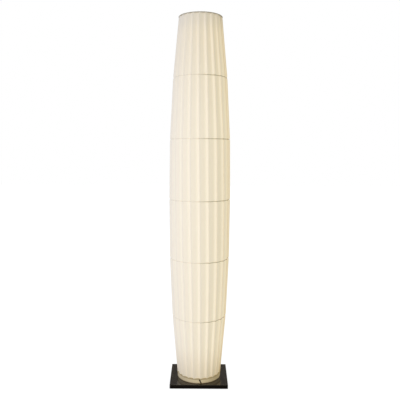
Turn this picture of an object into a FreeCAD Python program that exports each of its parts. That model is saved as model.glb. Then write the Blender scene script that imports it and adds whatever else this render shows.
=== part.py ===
import FreeCAD, Part
import math
import os

Vector = FreeCAD.Vector

# A column floor lamp: a flat base, a mast lit on four faces and a tall pleated cloth shade.
# Millimetres, +Z up, origin on the floor under the centre of the base, front towards -Y.

# Base: a lacquered board on a felt sheet, with a steel ballast plate let into its underside.
base_width = 240.0
base_depth = 206.0
base_thickness = 16.0
base_corner_round = 2.0
base_edge_round = 1.0
felt_thickness = 1.5
felt_inset = 3.0
ballast_side = 140.0
ballast_thickness = 8.0
ballast_gap = 0.5
ballast_screw_inset = 14.0

# Cable entry: a rubber grommet in the rear edge and a passage up into the collar.
grommet_bore_radius = 3.0
grommet_sleeve_radius = 4.5
grommet_flange_radius = 6.0
grommet_flange_thickness = 2.0
grommet_length = 12.0
wire_hole_radius = 4.5
wire_hole_offset = 76.0

# Collar: a bent strip that the shade stands over, its ends cut on the slant and left apart.
collar_radius = 90.5
collar_wall = 3.5
collar_height = 18.0
collar_slit_width = 6.0
collar_slit_top_x = -1.0
collar_slit_bottom_x = 7.0
lug_angle = 20.0
lug_reach = 12.0
lug_width = 14.0
lug_thickness = 6.0

# Mast: a square tube in a welded socket, closed at the top by a plug with a threaded stud.
mast_side = 25.0
mast_wall = 2.0
flange_side = 60.0
flange_thickness = 4.0
flange_screw_inset = 8.0
flange_hole_radius = 6.0
socket_wall = 2.5
socket_height = 40.0
socket_screw_height = 25.0
plug_length = 25.0
plug_cap_thickness = 3.0
stud_radius = 5.0
stud_above_hub = 11.0

# Light boards: one on each face of the mast, with a row of chips.
board_width = 16.0
board_thickness = 1.6
board_foot_gap = 6.0
board_head_gap = 30.0
chip_side = 5.0
chip_height = 1.5
chip_pitch = 40.0
chip_end_gap = 15.0

# Driver, terminal block and their two leads, all inside the collar.
driver_length = 96.0
driver_width = 26.0
driver_case_height = 12.0
driver_lid_thickness = 2.0
driver_wall = 1.5
driver_gap = 3.0
driver_board_thickness = 1.6
driver_board_gap = 0.5
driver_ear_length = 8.0
driver_ear_width = 10.0
driver_ear_thickness = 2.0
terminal_length = 30.0
terminal_width = 16.0
terminal_height = 14.0
terminal_gap = 2.0
terminal_way_count = 3
terminal_way_radius = 2.0
terminal_way_depth = 8.0
lead_radius = 1.5
lead_height = 8.0
lead_bend = 12.0
lead_turn = 10.0
lead_straight = 1.0
lead_gap = 0.3

# Shade: cloth folded in knife pleats and stretched straight from hoop to hoop.
hoop_pitch = 246.0
head_span = 240.0
seat_gap = 0.4
hem_radius = 91.5
foot_hoop_radius = 112.5
inner_hoop_radius = 123.0
belly_radius = 125.5
head_hoop_radius = 110.0
rim_radius = 87.5
pleat_count = 21
pleat_depth = 5.0
pleat_return_angle = 1.2
hem_fold_angle = -86.5
fold_lean = -8.0
cloth_wall = 1.2
wire_radius = 1.75
hub_radius = 16.0
hub_thickness = 5.0
hub_drop = 22.0
arm_radius = 2.0
arm_count = 3
arm_slot = 1.0

# Thumb nut that holds the shade down on the stud.
nut_radius = 11.0
nut_height = 14.0
nut_edge = 1.5
nut_flute_count = 18
nut_flute_radius = 1.0

# Countersunk screws: radius over the head, radius of the shank and depth of the head.
wood_screw = (4.0, 1.75, 2.2)
small_screw = (3.0, 1.25, 1.7)
screw_bite = 6.0
screw_tip_gap = 0.5
socket_screw_radius = 2.5
socket_screw_stand_out = 0.5

# Clearances.
screw_gap = 0.1
grommet_gap = 0.05
socket_gap = 0.15
plug_gap = 0.2
hub_gap = 0.25
nut_gap = 0.1
nut_end_gap = 0.5
hoop_gap = 0.3
weld_gap = 0.05

# Levels that the sizes lead to.
base_floor = felt_thickness
base_top = base_floor + base_thickness
ballast_ceiling = base_floor + ballast_thickness
hem_level = base_top + collar_height + seat_gap
outline = (hem_radius, foot_hoop_radius, inner_hoop_radius, belly_radius,
           inner_hoop_radius, head_hoop_radius, rim_radius)
station_levels = [hem_level + number * hoop_pitch for number in range(len(outline) - 1)]
rim_level = station_levels[-1] + head_span
station_levels.append(rim_level)
hub_top = rim_level - hub_drop
hub_floor = hub_top - hub_thickness
mast_foot = base_top + flange_thickness
mast_top = hub_floor - plug_cap_thickness
socket_top = mast_foot + socket_height
board_foot = socket_top + board_foot_gap
board_head = mast_top - board_head_gap
mast_bore = mast_side - 2 * mast_wall
socket_side = mast_side + 2 * (socket_gap + socket_wall)
hub_bore_radius = stud_radius + hub_gap
collar_inner_radius = collar_radius - collar_wall
lug_top = base_top + lug_thickness
ear_top = base_top + driver_ear_thickness
driver_offset = flange_side / 2 + driver_gap + driver_width / 2
terminal_offset = flange_side / 2 + terminal_gap + terminal_width / 2


def export(name, shape):
    """Write one piece, after a look that each of its solids is sound."""
    for solid in shape.Solids:
        if not solid.isValid() or solid.Volume <= 0:
            raise ValueError(name + " has a solid that isn't sound")
    shape.exportStep("parts/" + name + ".step")
    print(name, len(shape.Solids), round(shape.Volume, 1))


def polar(radius, angle, level=0.0):
    """A point at an angle in degrees, counted from +X towards +Y."""
    turn = math.radians(angle)
    return Vector(radius * math.cos(turn), radius * math.sin(turn), level)


def block(length, width, height, x=0.0, y=0.0, floor=0.0):
    """A box centred on x and y that stands on floor."""
    return Part.makeBox(length, width, height, Vector(x - length / 2, y - width / 2, floor))


def drum(radius, height, x=0.0, y=0.0, floor=0.0):
    """An upright cylinder that stands on floor."""
    return Part.makeCylinder(radius, height, Vector(x, y, floor))


def square_places(reach):
    """The four corners of a square about the axis, as x and y."""
    return [(x, y) for x in (-reach, reach) for y in (-reach, reach)]


def screw(size, x, y, face, tip, gap=0.0):
    """A countersunk screw from the level of its face to that of its tip; a gap makes it the hole for one."""
    head, shank, depth = size
    along = Vector(0, 0, math.copysign(1.0, tip - face))
    place = Vector(x, y, face)
    cone = Part.makeCone(head + gap, shank + gap, depth, place, along)
    rod = Part.makeCylinder(shank + gap, abs(tip - face) + gap, place, along)
    return cone.fuse(rod).removeSplitter()


def quarter(start, middle_of_turn, end):
    """A quarter circle from start to end about the given centre."""
    inner = (start + end) * 0.5 - middle_of_turn
    inner.normalize()
    on_arc = middle_of_turn + inner * (start - middle_of_turn).Length
    return Part.Arc(start, on_arc, end).toShape()


def tube_along(edges, radius):
    """A round tube along tangent lines and arcs."""
    path = Part.Wire(edges)
    first = edges[0].firstVertex().Point
    along = edges[0].tangentAt(edges[0].FirstParameter)
    section = Part.Wire([Part.makeCircle(radius, first, along)])
    tube = path.makePipeShell([section], True, True)
    section_area = math.pi * radius ** 2
    print("tube volume over section times length", round(tube.Volume / (section_area * path.Length), 4))
    return tube


def ballast_screw_set(gap=0.0):
    """From below, through the ballast plate, into the board."""
    places = square_places(ballast_side / 2 - ballast_screw_inset)
    return [screw(wood_screw, x, y, base_floor, ballast_ceiling + screw_bite, gap) for x, y in places]


def flange_screw_set(gap=0.0):
    """From above, through the flange, to just short of the ballast plate."""
    places = square_places(flange_side / 2 - flange_screw_inset)
    return [screw(wood_screw, x, y, mast_foot, ballast_ceiling + screw_tip_gap, gap) for x, y in places]


def lug_turns():
    return [turn + side * lug_angle for turn in (0, 180) for side in (-1, 1)]


def collar_screw_set(gap=0.0):
    """From above, through the collar's lugs."""
    places = [polar(collar_inner_radius - lug_reach / 2, turn) for turn in lug_turns()]
    return [screw(wood_screw, place.x, place.y, lug_top, base_top - screw_bite, gap) for place in places]


def driver_screw_set(gap=0.0):
    """From above, through the driver's ears."""
    reach = driver_length / 2 + driver_ear_length / 2
    tip = base_top - screw_bite
    return [screw(small_screw, x, driver_offset, ear_top, tip, gap) for x in (-reach, reach)]


def cable_passage(radius, start, length):
    """A level cylinder at half the board's thickness, running in from start along -Y."""
    mouth = Vector(0, start, base_floor + base_thickness / 2)
    return Part.makeCylinder(radius, length, mouth, Vector(0, -1, 0))


def base_plate():
    board = block(base_width, base_depth, base_thickness, floor=base_floor)
    uprights = [edge for edge in board.Edges if abs(edge.tangentAt(edge.FirstParameter).z) > 0.5]
    board = board.makeFillet(base_corner_round, uprights)
    rims = [edge for edge in board.Edges if edge.BoundBox.ZLength < base_edge_round / 2]
    board = board.makeFillet(base_edge_round, rims)
    pocket = block(ballast_side + 2 * ballast_gap, ballast_side + 2 * ballast_gap, ballast_thickness,
                   floor=base_floor)
    edge = base_depth / 2
    passage = cable_passage(grommet_sleeve_radius + grommet_gap, edge, edge - wire_hole_offset)
    recess = cable_passage(grommet_flange_radius + grommet_gap, edge, grommet_flange_thickness)
    riser = drum(wire_hole_radius, base_thickness / 2, 0, wire_hole_offset, base_floor + base_thickness / 2)
    cuts = [pocket, passage, recess, riser]
    for screw_set in (ballast_screw_set, flange_screw_set, collar_screw_set, driver_screw_set):
        cuts += screw_set(screw_gap)
    return board.cut(cuts)


def base_felt():
    return block(base_width - 2 * felt_inset, base_depth - 2 * felt_inset, felt_thickness)


def ballast_plate():
    plate = block(ballast_side, ballast_side, ballast_thickness, floor=base_floor)
    return plate.cut(ballast_screw_set(screw_gap))


def ballast_screws():
    return Part.makeCompound(ballast_screw_set())


def cable_grommet():
    edge = base_depth / 2
    sleeve = cable_passage(grommet_sleeve_radius, edge, grommet_length)
    flange = cable_passage(grommet_flange_radius, edge, grommet_flange_thickness)
    return sleeve.fuse(flange).cut(cable_passage(grommet_bore_radius, edge, grommet_length))


def shade_collar():
    """A split ring with four lugs inside it that take its screws."""
    ring = drum(collar_radius, collar_height, floor=base_top)
    ring = ring.cut(drum(collar_inner_radius, collar_height, floor=base_top))
    for turn in lug_turns():
        lug = Part.makeBox(lug_reach + collar_wall / 2, lug_width, lug_thickness,
                           Vector(collar_inner_radius - lug_reach, -lug_width / 2, base_top))
        lug.rotate(Vector(0, 0, 0), Vector(0, 0, 1), turn)
        ring = ring.fuse(lug)
    slope_x = collar_slit_top_x - collar_slit_bottom_x
    foot = Vector(collar_slit_bottom_x, 0, base_top)
    rise = Vector(slope_x, 0, collar_height)
    across = Vector(collar_slit_width, 0, 0)
    corners = [foot, foot + across, foot + across + rise, foot + rise]
    slit = Part.Face(Part.makePolygon(corners + corners[:1]))
    slit = slit.extrude(Vector(0, -collar_radius - collar_wall, 0))
    return ring.cut([slit] + collar_screw_set(screw_gap)).removeSplitter()


def collar_screws():
    return Part.makeCompound(collar_screw_set())


def socket_screw_rods(gap=0.0):
    """Two grub screws, front and rear, that press on the mast through the socket's walls."""
    length = socket_wall + socket_gap + socket_screw_stand_out
    level = mast_foot + socket_screw_height
    return [Part.makeCylinder(socket_screw_radius + gap, length, Vector(0, side * mast_side / 2, level),
                              Vector(0, side, 0)) for side in (-1, 1)]


def mast_flange():
    plate = block(flange_side, flange_side, flange_thickness, floor=base_top)
    socket = block(socket_side, socket_side, socket_height, floor=mast_foot)
    hollow = block(mast_side + 2 * socket_gap, mast_side + 2 * socket_gap, socket_height, floor=mast_foot)
    holes = flange_screw_set(screw_gap) + socket_screw_rods(screw_gap)
    holes.append(drum(flange_hole_radius, flange_thickness, floor=base_top))
    return plate.fuse(socket.cut(hollow)).cut(holes).removeSplitter()


def flange_screws():
    return Part.makeCompound(flange_screw_set())


def socket_screws():
    return Part.makeCompound(socket_screw_rods())


def mast():
    length = mast_top - mast_foot
    tube = block(mast_side, mast_side, length, floor=mast_foot)
    return tube.cut(block(mast_bore, mast_bore, length, floor=mast_foot))


def mast_top_plug():
    insert_side = mast_bore - 2 * plug_gap
    insert = block(insert_side, insert_side, plug_length, floor=mast_top - plug_length)
    cap = block(mast_side, mast_side, plug_cap_thickness, floor=mast_top)
    stud = drum(stud_radius, hub_thickness + stud_above_hub, floor=hub_floor)
    return insert.fuse([cap, stud]).removeSplitter()


def light_board(turn):
    board = block(board_width, board_thickness, board_head - board_foot,
                  0, -(mast_side + board_thickness) / 2, board_foot)
    board.rotate(Vector(0, 0, 0), Vector(0, 0, 1), turn)
    return board


def light_chips(turn):
    """The row of chips on one board, from its foot up, at a steady pitch."""
    room = board_head - board_foot - 2 * chip_end_gap - chip_side
    depth = -(mast_side + chip_height) / 2 - board_thickness
    chips = []
    for number in range(int(room // chip_pitch) + 1):
        level = board_foot + chip_end_gap + number * chip_pitch
        chip = block(chip_side, chip_height, chip_side, 0, depth, level)
        chip.rotate(Vector(0, 0, 0), Vector(0, 0, 1), turn)
        chips.append(chip)
    return Part.makeCompound(chips)


def driver_case():
    """An open tray with an ear at each end."""
    tray = block(driver_length, driver_width, driver_case_height, 0, driver_offset, base_top)
    reach = driver_length + 2 * driver_ear_length
    ears = block(reach, driver_ear_width, driver_ear_thickness, 0, driver_offset, base_top)
    hollow = block(driver_length - 2 * driver_wall, driver_width - 2 * driver_wall,
                   driver_case_height - driver_wall, 0, driver_offset, base_top + driver_wall)
    return tray.fuse(ears).cut([hollow] + driver_screw_set(screw_gap)).removeSplitter()


def driver_board():
    gap = driver_wall + driver_board_gap
    return block(driver_length - 2 * gap, driver_width - 2 * gap, driver_board_thickness,
                 0, driver_offset, base_top + driver_wall)


def driver_lid():
    return block(driver_length, driver_width, driver_lid_thickness, 0, driver_offset,
                 base_top + driver_case_height)


def driver_screws():
    return Part.makeCompound(driver_screw_set())


def terminal_block():
    """A terminal strip beside the mast, with a row of blind ways towards the rear end."""
    strip = block(terminal_width, terminal_length, terminal_height, -terminal_offset, 0, base_top)
    step = terminal_length / terminal_way_count
    ways = []
    for number in range(terminal_way_count):
        y = -terminal_length / 2 + (number + 0.5) * step
        ways.append(drum(terminal_way_radius, terminal_way_depth, -terminal_offset, y,
                         base_top + terminal_height - terminal_way_depth))
    return strip.cut(ways)


def supply_lead():
    """Straight back from the terminal strip into the driver's front."""
    level = base_top + lead_height
    start = Vector(-terminal_offset, terminal_length / 2, level)
    goal = Vector(-terminal_offset, driver_offset - driver_width / 2, level)
    return tube_along([Part.makeLine(start, goal)], lead_radius)


def output_lead():
    """From the driver's front, round to the mast, and up its right side to the foot of the board."""
    level = base_top + lead_height
    stand_off = socket_side / 2 + lead_radius + lead_gap
    side = stand_off + lead_bend + lead_straight + lead_turn
    start = Vector(side, driver_offset - driver_width / 2, level)
    turn_start = Vector(side, lead_turn, level)
    turn_end = Vector(side - lead_turn, 0, level)
    bend_start = Vector(stand_off + lead_bend, 0, level)
    bend_end = Vector(stand_off, 0, level + lead_bend)
    edges = [Part.makeLine(start, turn_start),
             quarter(turn_start, Vector(turn_end.x, turn_start.y, level), turn_end),
             Part.makeLine(turn_end, bend_start),
             quarter(bend_start, Vector(bend_start.x, 0, bend_end.z), bend_end),
             Part.makeLine(bend_end, Vector(stand_off, 0, board_foot + chip_end_gap / 2))]
    return tube_along(edges, lead_radius)


def pleat_corners(number):
    """The cloth's outside at one hoop: each pleat runs in from its fold, then steps out to the next fold.

    The folds lean: they turn about the axis by the same angle from each hoop to the next.
    """
    radius = outline[number]
    pitch = 360.0 / pleat_count
    first_fold = hem_fold_angle + fold_lean * number / (len(outline) - 1)
    corners = []
    for pleat in range(pleat_count):
        fold = first_fold + pleat * pitch
        corners.append(polar(radius, fold))
        corners.append(polar(radius - pleat_depth, fold + pitch - pleat_return_angle))
    return corners


def inset(corners, distance):
    """The same section moved in by the cloth's thickness, corner for corner."""
    moved = []
    for number, corner in enumerate(corners):
        before = (corner - corners[number - 1]).normalize()
        after = (corners[(number + 1) % len(corners)] - corner).normalize()
        side_before = Vector(-before.y, before.x, 0)
        side_after = Vector(-after.y, after.x, 0)
        share = distance / (1 + side_before.dot(side_after))
        moved.append(corner + (side_before + side_after) * share)
    return moved


def least_radius(corners):
    """How near a section comes to the axis."""
    axis = Part.Vertex(0, 0, 0)
    closed = Part.makePolygon(corners + corners[:1])
    return closed.distToShape(axis)[0]


def section_wire(corners, level):
    lifted = [Vector(corner.x, corner.y, level) for corner in corners]
    return Part.makePolygon(lifted + lifted[:1])


def hoop_levels():
    """Levels of the wire rings: the end rings lie just inside the cloth's edges."""
    levels = list(station_levels)
    levels[0] += wire_radius
    levels[-1] -= wire_radius
    return levels


def hoop_radius(number):
    """Radius of a ring's centre line, clear of the cloth's inner folds."""
    inside = inset(pleat_corners(number), cloth_wall)
    return least_radius(inside) - hoop_gap - wire_radius


def pleated_shade():
    """The cloth: ruled faces outside and inside from hoop to hoop, closed by a flat edge at each end."""
    outside = []
    inside = []
    for number, level in enumerate(station_levels):
        corners = pleat_corners(number)
        outside.append(section_wire(corners, level))
        inside.append(section_wire(inset(corners, cloth_wall), level))
    faces = Part.makeLoft(outside, False, True).Faces + Part.makeLoft(inside, False, True).Faces
    for end in (0, -1):
        faces.append(Part.Face(outside[end]).cut(Part.Face(inside[end])).Faces[0])
    shell = Part.makeShell(faces)
    shell.sewShape()
    cloth = Part.makeSolid(shell)
    if cloth.Volume < 0:
        cloth.reverse()
    return cloth


def hoop(number):
    return Part.makeTorus(hoop_radius(number), wire_radius, Vector(0, 0, hoop_levels()[number]))


def top_ring():
    return hoop(len(outline) - 1)


def spider_hub():
    """The disc that sits on the mast, bored for the stud and slotted for the ends of the arms."""
    hub = drum(hub_radius, hub_thickness, floor=hub_floor)
    bore = drum(hub_bore_radius, hub_thickness, floor=hub_floor)
    return hub.cut([bore] + arm_rods(arm_radius + weld_gap))


def arm_rods(radius):
    """Round rods that slope up from the hub to the centre line of the top ring."""
    rods = []
    for number in range(arm_count):
        turn = 90.0 + number * 360.0 / arm_count
        start = polar(hub_radius - arm_radius - arm_slot, turn, hub_floor + hub_thickness / 2)
        run = polar(hoop_radius(len(outline) - 1), turn, hoop_levels()[-1]) - start
        rods.append(Part.makeCylinder(radius, run.Length, start, run))
    return rods


def spider_arms():
    """Three arms, each hollowed at its end to lie against the top ring."""
    place = Vector(0, 0, hoop_levels()[-1])
    ring = Part.makeTorus(hoop_radius(len(outline) - 1), wire_radius + weld_gap, place)
    inner_ends = []
    for rod in arm_rods(arm_radius):
        pieces_of_rod = rod.cut(ring).Solids
        inner_ends.append(min(pieces_of_rod, key=lambda solid: solid.CenterOfMass.Length))
    return Part.makeCompound(inner_ends)


def shade_nut():
    """A fluted thumb nut, closed at the top, with a blind bore over the stud."""
    body = drum(nut_radius, nut_height, floor=hub_top)
    rims = [edge for edge in body.Edges if edge.BoundBox.ZLength < nut_edge / 2]
    body = body.makeChamfer(nut_edge, rims)
    cuts = [drum(stud_radius + nut_gap, stud_above_hub + nut_end_gap, floor=hub_top)]
    for number in range(nut_flute_count):
        place = polar(nut_radius, number * 360.0 / nut_flute_count)
        cuts.append(drum(nut_flute_radius, nut_height, place.x, place.y, hub_top))
    return body.cut(cuts)


os.makedirs("parts", exist_ok=True)
pieces = [base_plate, base_felt, ballast_plate, ballast_screws, cable_grommet, shade_collar, collar_screws,
          mast_flange, flange_screws, socket_screws, mast, mast_top_plug, driver_case, driver_board,
          driver_lid, driver_screws, terminal_block, supply_lead, output_lead, pleated_shade, top_ring,
          spider_hub, spider_arms, shade_nut]
for piece in pieces:
    export(piece.__name__, piece())
for side_name, side_turn in (("front", 0), ("right", 90), ("rear", 180), ("left", 270)):
    export("light_board_" + side_name, light_board(side_turn))
    export("light_chips_" + side_name, light_chips(side_turn))
for hoop_number in range(1, len(outline) - 1):
    export("hoop_" + str(hoop_number), hoop(hoop_number))
export("bottom_ring", hoop(0))
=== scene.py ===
"""The looks of a column floor lamp: pleated cloth over a lit mast, on a flat black base."""
import math

import bmesh
import bpy
from bpy.props import FloatProperty, FloatVectorProperty, IntProperty, PointerProperty
from mathutils import Matrix, Vector, noise


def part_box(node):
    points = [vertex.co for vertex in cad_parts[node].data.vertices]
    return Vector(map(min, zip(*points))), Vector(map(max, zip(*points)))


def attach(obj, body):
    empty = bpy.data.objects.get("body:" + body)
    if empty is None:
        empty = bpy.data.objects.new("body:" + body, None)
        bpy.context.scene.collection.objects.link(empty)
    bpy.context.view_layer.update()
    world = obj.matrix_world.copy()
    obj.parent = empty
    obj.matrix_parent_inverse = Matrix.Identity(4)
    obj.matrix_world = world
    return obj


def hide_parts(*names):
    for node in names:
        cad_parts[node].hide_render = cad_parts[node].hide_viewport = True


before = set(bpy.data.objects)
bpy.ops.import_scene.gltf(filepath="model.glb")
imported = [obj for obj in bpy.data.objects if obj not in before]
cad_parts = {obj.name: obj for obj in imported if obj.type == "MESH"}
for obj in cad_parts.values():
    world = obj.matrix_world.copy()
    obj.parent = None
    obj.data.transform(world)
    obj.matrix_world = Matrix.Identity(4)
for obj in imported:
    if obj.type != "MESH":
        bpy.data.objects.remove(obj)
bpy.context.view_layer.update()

bl_info = {
    "name": "Pleated Column Lamp",
    "version": (1, 0, 0),
    "blender": (4, 5, 0),
    "location": "View3D > Sidebar > Lamp",
    "description": "Dresses a column floor lamp with cloth, lacquer, metal and light",
    "category": "Add Mesh",
}

MM = 0.001
SIDES = ("front", "right", "rear", "left")
RINGS = ["bottom_ring", "hoop_1", "hoop_2", "hoop_3", "hoop_4", "hoop_5", "top_ring"]

# Rows of cloth between two rings, as shares of the way: closest together beside the stitching.
ROW_SHARES = (0.0, 0.006, 0.012, 0.02, 0.04, 0.09, 0.18, 0.32,
              0.5, 0.68, 0.82, 0.91, 0.96, 0.98, 0.988, 0.994)

# Steps across a pleat's open face, round each of its folds, and across each hidden layer.
FACE_STEPS = 12
BEND_STEPS = 3
HIDDEN_STEPS = 2

# A pleat's face falls to its crease and rises to the next fold. It is shallower near the cloth's
# ends, deeper where the shade is narrow, and nearly flat where a hoop is sewn in.
FALL_CURVE = 1.3
RISE_CURVE = 1.4
END_REACH = 50 * MM
END_DEPTH = 0.45
NARROW_CURVE = 1.5
STITCH_REACH = 2.0 * MM
STITCH_FLATTENS = 0.85

# Where the noise that moves the folds is read.
WANDER_PER_PLEAT = 1.37
WANDER_PER_METRE = 2.2
WANDER_PLANE = 4.0

# Shares of the light that comes through where the cloth lies threefold, through a single layer, and
# in addition beside the lap, where it fades out towards the middle of the pleat's face.
LAP_LIGHT = 0.76
FACE_LIGHT = 0.9
BESIDE_LAP_LIGHT = 0.30
BESIDE_LAP_END = 0.5
BESIDE_LAP_FADE = 0.25

# The cloth's threads and slubs in millimetres, drawn coarser than real ones, so that they show.
THREAD_PITCH = 1.4
SLUB_WIDTH = 3.0
SLUB_STRETCH = 0.06
THREAD_SHADE = 0.93

# A hoop's line, the shadow of the hoop behind the cloth painted on: how far it is full and where it
# ends, and from left to right where it gains strength and how much of it the left has, since the
# painted shadow is darker on the right, away from the key light.
HOOP_SHADE_FULL = 0.8 * MM
HOOP_SHADE_END = 2.8 * MM
HOOP_SHADE_TINT = (0.44, 0.45, 0.42)
HOOP_SHADE_FROM = -30 * MM
HOOP_SHADE_TO = 50 * MM
HOOP_SHADE_LEFT = 0.25

# The ends of the cloth, painted darker and browner as shade: how far that painted shade reaches,
# how strong it is, and the light the ends hold back.
RIM_REACH = 450 * MM
RIM_SHARE = 0.4
HEM_REACH = 150 * MM
HEM_SHARE = 0.9
END_SHADE_TINT = (0.90, 0.855, 0.79)
END_HOLDS_BACK = 0.25

# Above the highest chips less light comes through.
DIM_REACH = 85 * MM
DIM_SHARE = 0.38

# Rolled tape: half its thickness and width, how far it stands past the folds, and how far its
# middle lies from the end of the cloth, as a share of half its thickness.
ROLL_HALF = 2.0 * MM
ROLL_REACH = 4.0 * MM
ROLL_PROUD = 1.0 * MM
ROLL_SHIFT = 0.4
ROLL_SEGMENTS = 14
ROLL_STEPS = 128

# Light chips and the round lens on each.
CHIP_SIDE = 5.0 * MM
CHIP_PITCH = 40.0 * MM
LENS_FOOT = 1.9 * MM
LENS_TOP = 1.4 * MM
LENS_HEIGHT = 0.5 * MM
LENS_LIFT = 0.2 * MM
LENS_SEGMENTS = 12

# A light board's copper track and tin pads, measured from the middle of its face and of a chip.
TRACK_PLACE = 5.8 * MM
TRACK_HALF = 0.7 * MM
PAD_PLACE = 3.4 * MM
PAD_HALF = 0.7 * MM
PAD_REACH = 1.8 * MM

# Cross recess in a screw's head, painted on as a dark cross of shade, as shares of the head's radius.
RECESS_HALF = 0.13
RECESS_REACH = 0.5

# The stage: floor, cards that only gloss shows, soft box and camera.
FLOOR_HALF = 12.0
FLOOR_DROP = 0.2 * MM
FLOOR_GLOW = 0.92
FLOOR_SEEN = 0.2
BACK_CARD_HALF = 0.9
BACK_CARD_PLACE = (0.0, 1.2, 0.92)
FRONT_CARD_HALF = 0.4
FRONT_CARD_GAP = 1.0 * MM
KEY_PLACE = (-1.45, -2.15, 0.85)
KEY_TARGET = (0.0, 0.0, 0.75)
KEY_SIZE = 0.6
SENSOR_WIDTH = 36.0
LAMP_OFF_MIDDLE = 0.0007


def linear(hex_colour):
    """An sRGB hex colour as linear red, green and blue."""
    channels = [int(hex_colour[place:place + 2], 16) / 255 for place in (1, 3, 5)]
    return [c / 12.92 if c <= 0.04045 else ((c + 0.055) / 1.055) ** 2.4 for c in channels]


def opaque(colour):
    """A colour with full alpha, as the shader's sockets take it."""
    return (*colour[:3], 1.0)


def per_mm(size):
    """The texture scale whose features are about this many millimetres across."""
    return 1 / (size * MM)


def wave_scale(period):
    """The wave texture's scale whose bands repeat every so many millimetres."""
    return math.pi / 10 / (period * MM)


class LampClothSettings(bpy.types.PropertyGroup):
    """The cloth of the shade and how it is folded."""

    pleats: IntProperty(name="Pleats", description="Knife pleats round the shade", default=21, min=3)
    fold_stand: FloatProperty(
        name="Fold stand-off", description="From the outside of a hoop to the outer folds",
        default=6.5 * MM, unit="LENGTH")
    valley: FloatProperty(
        name="Valley", description="How far a pleat's face sinks between its folds at the belly",
        default=4.4 * MM, unit="LENGTH")
    crease: FloatProperty(
        name="Crease", description="Share of a pleat's width at which its face lies deepest",
        default=0.25, subtype="FACTOR")
    cut_per_pleat: FloatProperty(
        name="Cloth per pleat", description="Width of cloth that one pleat takes up",
        default=50 * MM, unit="LENGTH")
    fold_round: FloatProperty(
        name="Fold rounding", description="Radius of the cloth at a pressed fold",
        default=0.5 * MM, unit="LENGTH")
    thickness: FloatProperty(
        name="Thickness", description="Of one layer", default=0.35 * MM, unit="LENGTH")
    hem_fold: FloatProperty(
        name="First fold", description="Angle of the first fold at the hem",
        default=math.radians(-93.5), subtype="ANGLE")
    lean: FloatProperty(
        name="Lean", description="How far the folds turn from the hem to the rim",
        default=math.radians(8.0), subtype="ANGLE")
    wander: FloatProperty(
        name="Wander", description="How unevenly the folds are spaced",
        default=math.radians(1.3), subtype="ANGLE")
    pinch: FloatProperty(
        name="Pinch", description="How far the stitching draws the cloth in at a hoop",
        default=3.0 * MM, unit="LENGTH")
    colour: FloatVectorProperty(
        name="Cloth", description="Colour of the cloth", subtype="COLOR", default=linear("#ECE7DB"))
    glow: FloatVectorProperty(
        name="Glow", description="Colour of the light that comes through", subtype="COLOR",
        default=linear("#FFE19C"))
    glow_strength: FloatProperty(
        name="Glow strength", description="How bright the lit cloth is", default=0.22)


class LampStandSettings(bpy.types.PropertyGroup):
    """The colours of the stand."""

    lacquer: FloatVectorProperty(
        name="Lacquer", description="Colour of the base", subtype="COLOR", default=linear("#0F0C09"))
    collar: FloatVectorProperty(
        name="Collar", description="Colour of the strip under the shade", subtype="COLOR",
        default=linear("#F0DCB0"))
    light: FloatVectorProperty(
        name="Light", description="Colour of the light chips", subtype="COLOR",
        default=linear("#FFD9A0"))


class LampStageSettings(bpy.types.PropertyGroup):
    """Camera and studio light."""

    distance: FloatProperty(
        name="Distance", description="From the mast to the camera", default=2.0832, unit="LENGTH")
    height: FloatProperty(name="Height", description="Of the camera", default=0.9710, unit="LENGTH")
    tilt: FloatProperty(
        name="Tilt", description="How far the camera looks down",
        default=math.radians(5.53), subtype="ANGLE")
    roll: FloatProperty(
        name="Roll", description="How far the camera leans",
        default=math.radians(0.29), subtype="ANGLE")
    lens: FloatProperty(
        name="Lens", description="Focal length in millimetres on a 36 mm sensor",
        default=45.317, unit="CAMERA")
    key_power: FloatProperty(
        name="Key", description="Power of the light from the left", default=14.0, unit="POWER")
    room_left: FloatVectorProperty(
        name="Room, left", description="Even light from the left of the room", subtype="COLOR",
        default=(0.53, 0.595, 0.875))
    room_right: FloatVectorProperty(
        name="Room, right", description="Even light from the right of the room", subtype="COLOR",
        default=(0.765, 0.715, 0.49))


def add_node(tree, kind, inputs=None, **fields):
    """Add a shader node of a kind, set its fields, and set or link its inputs."""
    node = tree.nodes.new("ShaderNode" + kind)
    for name, value in fields.items():
        setattr(node, name, value)
    for name, value in (inputs or {}).items():
        if isinstance(value, bpy.types.NodeSocket):
            tree.links.new(value, node.inputs[name])
        else:
            node.inputs[name].default_value = value
    return node


def begin_material(name):
    """A new material with an empty tree, ready for its shader."""
    material = bpy.data.materials.new(name)
    material.use_nodes = True
    material.node_tree.nodes.clear()
    return material, material.node_tree


def end_material(tree, **inputs):
    """The Principled shader and the output that finish a material."""
    shader = add_node(tree, "BsdfPrincipled",
                      {name.replace("_", " "): value for name, value in inputs.items()})
    add_node(tree, "OutputMaterial", {"Surface": shader.outputs["BSDF"]})


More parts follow.
